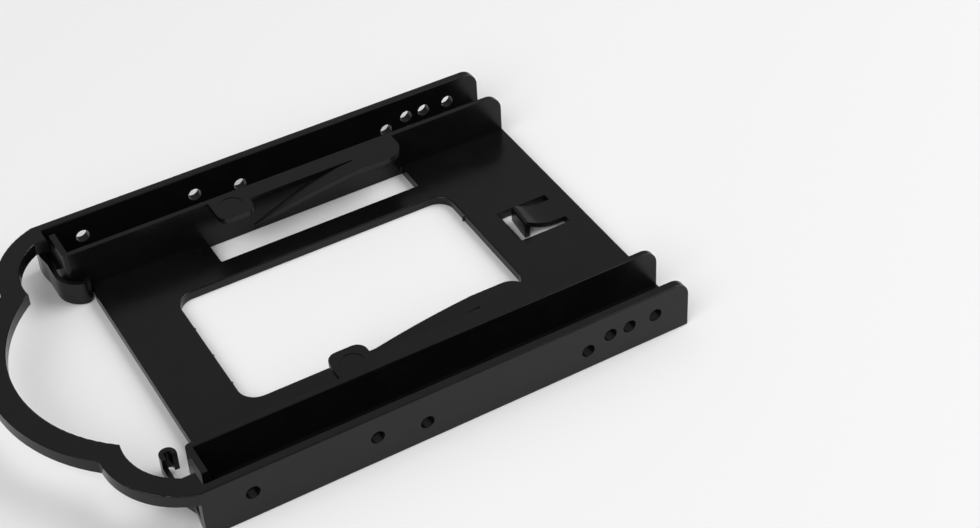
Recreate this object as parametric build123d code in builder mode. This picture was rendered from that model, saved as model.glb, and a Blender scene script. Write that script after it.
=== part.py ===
from build123d import *
from math import radians, tan
import os

# A bracket that fills the width of a drive bay round a narrower cradle, moulded in one piece.
# X runs from the pull handle to the open rear end, Y runs across and Z is up.
# The origin lies under the middle of the whole length and width. Sizes are in millimetres.

# Outer rails
bay_width = 101.6
rail_length = 122.3
wall_height = 13.3
rail_thickness = 2.3
rear_corner_radius = 4.0
edge_radius = 0.3

# Screw holes of the outer rails, the same on both sides, measured from the first one
screw_hole = 3.4
first_hole_from_front = 11.4
high_hole_offsets = (0, 29.5, 89.3, 94.5, 101.6)
low_hole_offsets = (41.6, 83.3)
high_hole_height = 7.2
low_hole_height = 5.2

# Floor plate with its window and the two slots under the spring arms
plate_thickness = 2.3
plate_setback = 7.5
window_from_front = 22.9
window_length = 73.6
window_width = 41.2
window_corner_radius = 4.5
window_edge_radius = 0.4
nub_radius = 0.5
nub_height = 1.2
front_nub_places = (-11.9, -1.3, 9.4)
rear_nub_place = 10.7
slot_from_front = 37.8
slot_length = 54.5
slot_width = 9.3
slot_corner_radius = 0.4

# Inner rails on both sides of the cradle, with a short return at their front ends
cradle_width = 72.0
inner_thickness = 1.5
inner_setback = 2.7
return_length = 9.6
return_corner_radius = 1.2
inner_edge_radius = 0.25

# Spring arms: a root, a leg with a knob at its end, and a gap under the knob and the leg
arm_thickness = 1.45
arm_width = 9.6
arm_root_end = 90.2
root_corner_radius = 4.8
arm_leg_width = 5.0
knob_from_front = 39.8
knob_length = 9.4
knob_corner_radius = 2.7
flex_gap = 0.6
flex_end = 82.0

# Fingers of the spring arms, bowed strips that slope down to a point beside the knob
finger_from_front = 77.2
finger_overlap = 1.4
finger_tip_from_front = 48.0
finger_taper_start = 65.0
finger_drop = 4.8
finger_bow = 0.6
finger_thickness = 1.2
finger_slit = 0.4
finger_tip_width = 0.5

# Latch tab in the floor plate, which rises from its root and ends in a skewed lip
latch_from_rear = 4.9
latch_length = 13.5
latch_width = 12.2
latch_edge_radius = 0.9
tab_width = 7.8
tab_length = 11.35
tab_skew = 0.35
tab_flat = 5.6
tab_slope = 28.5
tab_bend_radius = 12.0
tab_thickness = 1.4
lip_thickness = 1.4
lip_edge_radius = 0.75
lip_clearance = 0.4

# Pull handle: a middle lobe between two side lobes, level with the tops of the rails
handle_reach = 27.4
handle_depth = 3.5
middle_radius = 42.9
middle_band = 5.8
side_radius = 20.8
side_band = 5.3
side_centre_behind_front = 6.7
side_centre_inset = 19.7
handle_root_setback = 1.8
handle_root_length = 3.4
handle_root_width = 6.4
outer_notch_radius = 0.8
inner_cusp_radius = 2.0

# Spring strips at the front ends of the outer rails, one curled and one ending in a hook.
# Both dip backward beside the rail. Their insets are measured from the bracket's outer side,
# the curl's start and reach from the side of the cradle.
strip_height = 6.2
strip_thickness = 1.15
strip_overlap = 1.0
strip_bend_radius = 3.0
dip_start_inset = 2.8
dip_end_inset = 6.3
dip_depth = 0.5
curl_start = 3.05
curl_wide_radius = 6.55
curl_wide_angle = 70
curl_tight_radius = 2.1
curl_reach = 3.2
curl_relief = 0.5
hook_lift = 1.2
hook_strip_top = 3.7
hook_leg = 1.4
hook_bend_end_inset = 10.8
hook_offset = 1.25
hook_radius = 1.95
hook_centre_inset = 21.2
hook_tail = 0.7

# Round marks that the ejector pins of the mould leave in the surface
pin_diameter = 5.6
pin_depth = 0.15
plate_pin_from_front = 33.4
plate_pin_inset = 4.5

half_width = bay_width / 2
overall_length = rail_length + handle_reach
rear = overall_length / 2
front = rear - rail_length
cradle_side = cradle_width / 2
channel_side = cradle_side + inner_thickness
arm_bottom = wall_height - arm_thickness

# Floor plate with the window, its nubs, the slots, the latch's opening and the curl's relief
with BuildPart() as plate:
    with BuildSketch():
        with Locations((front + plate_setback, 0)):
            plate_size = (rail_length - plate_setback, bay_width - rail_thickness)
            Rectangle(*plate_size, align=(Align.MIN, Align.CENTER))
    extrude(amount=plate_thickness)
    with BuildSketch():
        with Locations((front + window_from_front + window_length / 2, 0)):
            RectangleRounded(window_length, window_width, window_corner_radius)
    extrude(amount=plate_thickness, mode=Mode.SUBTRACT)
    window_top = plate.faces().sort_by(Axis.Z)[-1].inner_wires()[0]
    fillet(window_top.edges(), window_edge_radius)
    with BuildSketch():
        with Locations([(front + window_from_front, y) for y in front_nub_places]):
            RegularPolygon(nub_radius, 3)
        with Locations((front + window_from_front + window_length, rear_nub_place)):
            RegularPolygon(nub_radius, 3, rotation=180)
    extrude(amount=nub_height)
    with BuildSketch():
        slot_start = front + slot_from_front
        with Locations((slot_start, cradle_side), (slot_start, slot_width - cradle_side)):
            RectangleRounded(slot_length, slot_width, slot_corner_radius, align=(Align.MIN, Align.MAX))
        with Locations((front + plate_setback, cradle_side)):
            Rectangle(curl_relief, curl_reach + curl_relief, align=(Align.MIN, Align.MAX))
    extrude(amount=plate_thickness, mode=Mode.SUBTRACT)
    with BuildSketch(Plane.XZ):
        with BuildLine():
            latch_rear = rear - latch_from_rear
            latch_front = latch_rear - latch_length
            edge_start = (latch_front - latch_edge_radius, plate_thickness)
            rounded_edge = JernArc(edge_start, (1, 0), latch_edge_radius, -90)
            Polyline(
                rounded_edge @ 1,
                (latch_front, 0),
                (latch_rear, 0),
                (latch_rear, plate_thickness),
                edge_start,
            )
        make_face()
    extrude(amount=latch_width / 2, both=True, mode=Mode.SUBTRACT)
    with BuildSketch(Plane.XY.offset(plate_thickness - pin_depth)):
        pin_y = cradle_side - plate_pin_inset
        pin_x = front + plate_pin_from_front
        with Locations((pin_x, pin_y), (pin_x, -pin_y)):
            Circle(pin_diameter / 2)
    extrude(amount=pin_depth, mode=Mode.SUBTRACT)

# Outer rails with their screw holes
with BuildPart() as rails:
    with BuildSketch():
        with Locations((front, half_width - rail_thickness), (front, -half_width)):
            Rectangle(rail_length, rail_thickness, align=(Align.MIN, Align.MIN))
    extrude(amount=wall_height)
    rear_tops = rails.edges().filter_by(Axis.Y).group_by(Axis.Z)[-1].group_by(Axis.X)[-1]
    fillet(rear_tops, rear_corner_radius)
    fillet(rails.edges().filter_by(Axis.X).group_by(Axis.Z)[-1], edge_radius)
    for offsets, height in ((high_hole_offsets, high_hole_height), (low_hole_offsets, low_hole_height)):
        with BuildSketch(Plane.XZ):
            with Locations([(front + first_hole_from_front + x, height) for x in offsets]):
                Circle(screw_hole / 2)
        extrude(amount=half_width, both=True, mode=Mode.SUBTRACT)

# Pull handle, which joins the front ends of the outer rails
with BuildPart() as handle:
    with BuildSketch(Plane.XY.offset(wall_height - handle_depth)) as handle_plan:
        middle_centre = (front - handle_reach + middle_radius, 0)
        side_x = front + side_centre_behind_front
        side_y = half_width - side_centre_inset
        with Locations(middle_centre):
            Circle(middle_radius)
        with Locations((side_x, side_y), (side_x, -side_y)):
            Circle(side_radius)
        with Locations(middle_centre):
            Circle(middle_radius - middle_band, mode=Mode.SUBTRACT)
        with Locations((side_x, side_y), (side_x, -side_y)):
            Circle(side_radius - side_band, mode=Mode.SUBTRACT)
        root_x = front + handle_root_setback
        with Locations((root_x, 0)):
            Rectangle(overall_length, bay_width, align=(Align.MAX, Align.CENTER), mode=Mode.INTERSECT)
        root_size = (handle_root_length, handle_root_width - rail_thickness)
        with Locations((root_x, half_width - handle_root_width)):
            Rectangle(*root_size, align=(Align.MAX, Align.MIN))
        with Locations((root_x, handle_root_width - half_width)):
            Rectangle(*root_size, align=(Align.MAX, Align.MAX))
        outline = handle_plan.vertices().group_by(Axis.X)
        fillet(outline[0], outer_notch_radius)
        fillet(outline[1], inner_cusp_radius)
    extrude(amount=handle_depth)
    edges_by_height = handle.edges().filter_by(Plane.XY).group_by(Axis.Z)
    fillet(edges_by_height[0] + edges_by_height[-1], edge_radius)

# Inner rail with its return and its spring arm, on the side of positive Y
with BuildPart() as inner_rail:
    with BuildSketch():
        with Locations((front + inner_setback, cradle_side)):
            Rectangle(rail_length - inner_setback, inner_thickness, align=(Align.MIN, Align.MIN))
            Rectangle(inner_thickness, return_length, align=(Align.MIN, Align.MIN))
    extrude(amount=wall_height)
    front_corners = inner_rail.edges().filter_by(Axis.Z).group_by(Axis.X)[0]
    fillet(front_corners.sort_by(Axis.Y)[0], return_corner_radius)
    top_cross_edges = inner_rail.edges().filter_by(Axis.Y).group_by(Axis.Z)[-1]
    fillet(top_cross_edges.sort_by(Axis.X)[-1], rear_corner_radius)
    with BuildSketch(Plane.XZ.offset(-channel_side)):
        with Locations((front + knob_from_front, arm_bottom)):
            Rectangle(flex_end - knob_from_front, flex_gap, align=(Align.MIN, Align.MAX))
            Rectangle(flex_gap, arm_thickness + flex_gap, align=(Align.MAX, Align.CENTER))
    extrude(amount=inner_thickness, mode=Mode.SUBTRACT)
    with BuildSketch(Plane.XY.offset(arm_bottom)) as knob:
        with Locations((front + knob_from_front, channel_side)):
            Rectangle(knob_length, arm_width, align=(Align.MIN, Align.MAX))
        fillet(knob.vertices().group_by(Axis.Y)[0], knob_corner_radius)
    with BuildSketch(Plane.XY.offset(arm_bottom)) as arm:
        with Locations((front + arm_root_end, channel_side)):
            Rectangle(arm_root_end - finger_from_front, arm_width, align=(Align.MAX, Align.MAX))
        fillet(arm.vertices().group_by(Axis.X)[-1].sort_by(Axis.Y)[0], root_corner_radius)
        with Locations((front + knob_from_front + knob_corner_radius, channel_side)):
            leg_length = finger_from_front + finger_overlap - knob_from_front - knob_corner_radius
            Rectangle(leg_length, arm_leg_width, align=(Align.MIN, Align.MAX))
    extrude(amount=arm_thickness)
    top_edges = inner_rail.edges().group_by(Axis.Z)[-1]
    fillet(top_edges.sort_by(SortBy.LENGTH)[-1], inner_edge_radius)
    with BuildSketch(Plane.XY.offset(wall_height - pin_depth)):
        pin_x = front + knob_from_front + knob_length / 2
        with Locations((pin_x, channel_side - arm_width / 2)):
            Circle(pin_diameter / 2)
    extrude(amount=pin_depth, mode=Mode.SUBTRACT)

# Finger of that spring arm
with BuildPart() as finger:
    finger_root = front + finger_from_front + finger_overlap
    finger_tip = front + finger_tip_from_front
    finger_side = channel_side - arm_leg_width - finger_slit
    finger_edge = channel_side - arm_width
    with BuildSketch(Plane.XZ):
        with BuildLine():
            bow_start = front + finger_from_front
            bow_middle = (bow_start + finger_tip) / 2
            bow_top = wall_height - finger_drop / 2 + finger_bow
            top_arc = ThreePointArc(
                (bow_start, wall_height),
                (bow_middle, bow_top),
                (finger_tip, wall_height - finger_drop),
            )
            under_arc = ThreePointArc(
                (finger_tip, wall_height - finger_drop - finger_thickness),
                (bow_middle, bow_top - finger_thickness),
                (bow_start, wall_height - finger_thickness),
            )
            Line(top_arc @ 1, under_arc @ 0)
            Polyline(
                under_arc @ 1,
                (finger_root, wall_height - finger_thickness),
                (finger_root, wall_height),
                top_arc @ 0,
            )
        make_face()
    extrude(amount=half_width, both=True)
    with BuildSketch():
        with BuildLine():
            Polyline(
                (finger_root, finger_edge),
                (finger_tip, finger_edge),
                (finger_tip, finger_edge + finger_tip_width),
                (front + finger_taper_start, finger_side),
                (finger_root, finger_side),
                close=True,
            )
        make_face()
    extrude(amount=wall_height, mode=Mode.INTERSECT)

# Latch tab, and the hollow between its underside and its lip
tab_root = rear - latch_from_rear
tab_tip = tab_root - tab_length
tab_reach = tab_tip - tab_skew
tab_peak = plate_thickness + (tab_root - tab_flat - tab_reach) * tan(radians(tab_slope))
tab_profile = ((tab_root, plate_thickness), (tab_root - tab_flat, plate_thickness), (tab_reach, tab_peak))
with BuildPart() as latch_tab:
    with BuildSketch(Plane.XZ):
        with BuildLine():
            FilletPolyline(*tab_profile, radius=tab_bend_radius)
            Polyline(
                (tab_reach, tab_peak),
                (tab_reach, lip_clearance),
                (tab_root, lip_clearance),
                (tab_root, plate_thickness),
            )
        make_face()
    extrude(amount=tab_width / 2, both=True)
    with BuildSketch():
        with BuildLine():
            Polyline(
                (tab_root, -tab_width / 2),
                (tab_root, tab_width / 2),
                (tab_tip + tab_skew, tab_width / 2),
                (tab_tip - tab_skew, -tab_width / 2),
                close=True,
            )
        make_face()
    extrude(amount=tab_peak, mode=Mode.INTERSECT)
    fillet(latch_tab.edges().sort_by(Axis.Z)[-1], lip_edge_radius)
with BuildPart() as tab_hollow:
    with BuildSketch(Plane.XZ):
        with BuildLine():
            FilletPolyline(*[(x, z - tab_thickness) for x, z in tab_profile], radius=tab_bend_radius)
            Polyline(
                (tab_reach, tab_peak - tab_thickness),
                (tab_reach, 0),
                (tab_root, 0),
                (tab_root, plate_thickness - tab_thickness),
            )
        make_face()
    extrude(amount=tab_width / 2, both=True)
    with BuildSketch():
        with BuildLine():
            Polyline(
                (tab_root, -tab_width / 2),
                (tab_root, tab_width / 2),
                (tab_tip + lip_thickness + tab_skew, tab_width / 2),
                (tab_tip + lip_thickness - tab_skew, -tab_width / 2),
                close=True,
            )
        make_face()
    extrude(amount=tab_peak, mode=Mode.INTERSECT)

# Spring strip of the rail on the side of positive Y, curled round the inner rail's front end
leg_x = front + strip_thickness / 2
dip_x = leg_x + dip_depth
with BuildPart() as curl:
    with BuildSketch():
        with BuildLine():
            FilletPolyline(
                (leg_x, half_width - rail_thickness + strip_overlap),
                (leg_x, half_width - dip_start_inset),
                (dip_x, half_width - dip_end_inset),
                (dip_x, cradle_side + curl_start),
                radius=strip_bend_radius,
            )
            wide_radius = curl_wide_radius - strip_thickness / 2
            tight_radius = curl_tight_radius - strip_thickness / 2
            leg_end = (dip_x, cradle_side + curl_start)
            wide = JernArc(leg_end, (0, -1), wide_radius, curl_wide_angle)
            JernArc(wide @ 1, wide % 1, tight_radius, 180 - curl_wide_angle)
        trace(line_width=strip_thickness)
    extrude(amount=strip_height)

# Low spring strip of the other rail, bent outward and ending in a taller open hook
with BuildPart() as hook:
    hook_x = leg_x - hook_offset
    hook_y = hook_centre_inset - half_width
    with BuildSketch(Plane.XY.offset(hook_lift)):
        with BuildLine():
            FilletPolyline(
                (leg_x, rail_thickness - half_width - strip_overlap),
                (leg_x, dip_start_inset - half_width),
                (dip_x, dip_end_inset - half_width),
                (hook_x, hook_bend_end_inset - half_width),
                (hook_x, hook_y),
                radius=strip_bend_radius,
            )
        trace(line_width=strip_thickness)
    extrude(amount=hook_strip_top - hook_lift)
    with BuildSketch(Plane.XY.offset(hook_lift)):
        with BuildLine():
            Line((hook_x, hook_y - hook_leg), (hook_x, hook_y))
            turn = JernArc((hook_x, hook_y), (0, 1), hook_radius - strip_thickness / 2, -180)
            Line(turn @ 1, turn @ 1 - Vector(0, hook_tail))
        trace(line_width=strip_thickness)
    extrude(amount=strip_height - hook_lift)

# The whole moulding
with BuildPart() as bracket:
    add(plate.part)
    add(rails.part)
    add(handle.part)
    add(inner_rail.part)
    add(finger.part)
    mirror(inner_rail.part, about=Plane.XZ)
    mirror(finger.part, about=Plane.XZ)
    add(latch_tab.part)
    add(tab_hollow.part, mode=Mode.SUBTRACT)
    add(curl.part)
    add(hook.part)

bracket.part.label = "bracket"
os.makedirs("parts", exist_ok=True)
export_step(bracket.part, "parts/bracket.step")
print("solids", len(bracket.solids()), "size", bracket.part.bounding_box().size)
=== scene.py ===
import math
import bpy
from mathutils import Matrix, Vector


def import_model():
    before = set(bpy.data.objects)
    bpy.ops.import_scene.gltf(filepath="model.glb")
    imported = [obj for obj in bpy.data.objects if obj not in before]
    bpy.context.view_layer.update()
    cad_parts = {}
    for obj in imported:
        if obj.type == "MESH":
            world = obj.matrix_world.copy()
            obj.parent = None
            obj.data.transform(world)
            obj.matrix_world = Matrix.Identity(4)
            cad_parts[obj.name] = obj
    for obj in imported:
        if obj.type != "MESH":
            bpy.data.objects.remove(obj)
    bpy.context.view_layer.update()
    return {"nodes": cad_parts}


# The drive bay bracket on a pale floor. Lengths are in metres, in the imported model's frame.

IMAGE_WIDTH = 980
FOCAL_PIXELS = 1956.3
OPTICAL_AXIS_OFF_CENTRE = (81.2, 82.4)
SENSOR_MM = 36.0
CAMERA_PLACE = (-0.12314, -0.32653, 0.31439)
CAMERA_TURN_DEG = (51.303, 0.864, -31.842)
CLIP_START = 0.01

# Black plastic. Scales are those of the noise textures, heights those of their bumps.
PLASTIC_DARK = (0.0036, 0.0036, 0.0039, 1)
PLASTIC_LIGHT = (0.0048, 0.0048, 0.0052, 1)
PLASTIC_IOR = 1.35
GLOSSY_ROUGHNESS = 0.22
DULL_ROUGHNESS = 0.27
WAVE_SCALE = 45.0
WAVE_HEIGHT = 0.0006
SMUDGE_SCALE = 160.0
GRAIN_SCALE = 3800.0
GRAIN_HEIGHT = 0.00004

FLOOR_SIZE = 6.0
FLOOR_PLACE = (0, 0, -0.0002)
FLOOR_BRIGHTNESS = 0.9
FLOOR_ROUGHNESS = 0.7
FLOOR_IOR = 1.3

# The sky's brightness at rising heights of the line of sight, from 0 level to 1 straight up
SKY_STOPS = ((0.1, 0.2), (0.63, 0.4), (0.78, 0.5), (0.93, 0.1))

# Lights that aim at the origin: name, place, width and height, watts
LIGHTS = (
    ("right", (1.5, -0.35, 1.2), (1.6, 1.8), 30),
    ("left", (-1.3, -0.9, 1.3), (1.6, 1.6), 23),
)

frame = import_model()


class Nodes:
    """The node tree of a material or a world, with short calls to add nodes and links."""

    def __init__(self, owner):
        owner.use_nodes = True
        self.owner = owner
        self.tree = owner.node_tree
        self.tree.nodes.clear()

    def add(self, kind, inputs=None, **settings):
        node = self.tree.nodes.new(kind)
        for key, value in settings.items():
            setattr(node, key, value)
        for key, value in (inputs or {}).items():
            if isinstance(value, bpy.types.NodeSocket):
                self.tree.links.new(value, node.inputs[key])
            else:
                node.inputs[key].default_value = value
        return node

    def ramp(self, factor, stops):
        """A colour ramp. Stops are pairs of place and colour, in rising order."""
        node = self.add("ShaderNodeValToRGB", {"Fac": factor})
        elements = node.color_ramp.elements
        for element, (place, colour) in zip(elements, (stops[0], stops[-1])):
            element.position = place
            element.color = colour
        for place, colour in stops[1:-1]:
            elements.new(place).color = colour
        return node.outputs["Color"]


def grey(value):
    return (value, value, value, 1)


def moulded_plastic():
    """Satin black plastic: uneven gloss, a fine grain and the faint waves of a moulded skin."""
    n = Nodes(bpy.data.materials.new("moulded_black"))
    place = n.add("ShaderNodeTexCoord").outputs["Object"]
    flow = n.add("ShaderNodeTexNoise", {"Vector": place, "Scale": WAVE_SCALE, "Detail": 3.0})
    smudge = n.add("ShaderNodeTexNoise", {
        "Vector": place, "Scale": SMUDGE_SCALE, "Detail": 4.0, "Distortion": 0.6})
    grain = n.add("ShaderNodeTexNoise", {"Vector": place, "Scale": GRAIN_SCALE, "Detail": 2.0})
    colour = n.ramp(smudge.outputs["Fac"], ((0.35, PLASTIC_DARK), (0.7, PLASTIC_LIGHT)))
    gloss_stops = ((0.3, grey(GLOSSY_ROUGHNESS)), (0.75, grey(DULL_ROUGHNESS)))
    gloss = n.ramp(smudge.outputs["Fac"], gloss_stops)
    waves = n.add("ShaderNodeBump", {
        "Height": flow.outputs["Fac"], "Strength": 0.25, "Distance": WAVE_HEIGHT})
    skin = n.add("ShaderNodeBump", {
        "Height": grain.outputs["Fac"], "Strength": 0.12, "Distance": GRAIN_HEIGHT,
        "Normal": waves.outputs["Normal"]})
    shader = n.add("ShaderNodeBsdfPrincipled", {
        "Base Color": colour, "Roughness": gloss, "IOR": PLASTIC_IOR,
        "Normal": skin.outputs["Normal"]})
    n.add("ShaderNodeOutputMaterial", {"Surface": shader.outputs["BSDF"]})
    return n.owner


def floor_paper():
    """Pale studio paper."""
    n = Nodes(bpy.data.materials.new("floor_paper"))
    shader = n.add("ShaderNodeBsdfPrincipled", {
        "Base Color": grey(FLOOR_BRIGHTNESS), "Roughness": FLOOR_ROUGHNESS, "IOR": FLOOR_IOR})
    n.add("ShaderNodeOutputMaterial", {"Surface": shader.outputs["BSDF"]})
    return n.owner


def dress(obj, material):
    obj.data.materials.clear()
    obj.data.materials.append(material)


def area_light(name, place, size, power):
    data = bpy.data.lights.new(name, "AREA")
    data.shape = "RECTANGLE"
    data.size, data.size_y = size
    data.energy = power
    light = bpy.data.objects.new(name, data)
    light.location = place
    light.rotation_euler = (-Vector(place)).to_track_quat("-Z", "Y").to_euler()
    bpy.context.scene.collection.objects.link(light)


def camera():
    data = bpy.data.cameras.new("camera")
    data.sensor_width = SENSOR_MM
    data.lens = FOCAL_PIXELS / IMAGE_WIDTH * SENSOR_MM
    data.shift_x, data.shift_y = (-pixels / IMAGE_WIDTH for pixels in OPTICAL_AXIS_OFF_CENTRE)
    data.clip_start = CLIP_START
    obj = bpy.data.objects.new("camera", data)
    obj.location = CAMERA_PLACE
    obj.rotation_euler = [math.radians(angle) for angle in CAMERA_TURN_DEG]
    bpy.context.scene.collection.objects.link(obj)
    bpy.context.scene.camera = obj


def world():
    """A dim sky that is lightest well above level and dark overhead."""
    n = Nodes(bpy.data.worlds.new("studio"))
    place = n.add("ShaderNodeTexCoord").outputs["Generated"]
    height = n.add("ShaderNodeSeparateXYZ", {"Vector": place}).outputs["Z"]
    brightness = n.ramp(height, [(stop, grey(value)) for stop, value in SKY_STOPS])
    back = n.add("ShaderNodeBackground", {"Color": brightness})
    n.add("ShaderNodeOutputWorld", {"Surface": back.outputs["Background"]})
    bpy.context.scene.world = n.owner


dress(frame["nodes"]["bracket"], moulded_plastic())

bpy.ops.mesh.primitive_plane_add(size=FLOOR_SIZE, location=FLOOR_PLACE)
floor = bpy.context.object
floor.name = "floor"
dress(floor, floor_paper())

for light_facts in LIGHTS:
    area_light(*light_facts)
world()
camera()
bpy.context.scene.view_settings.view_transform = "Standard"
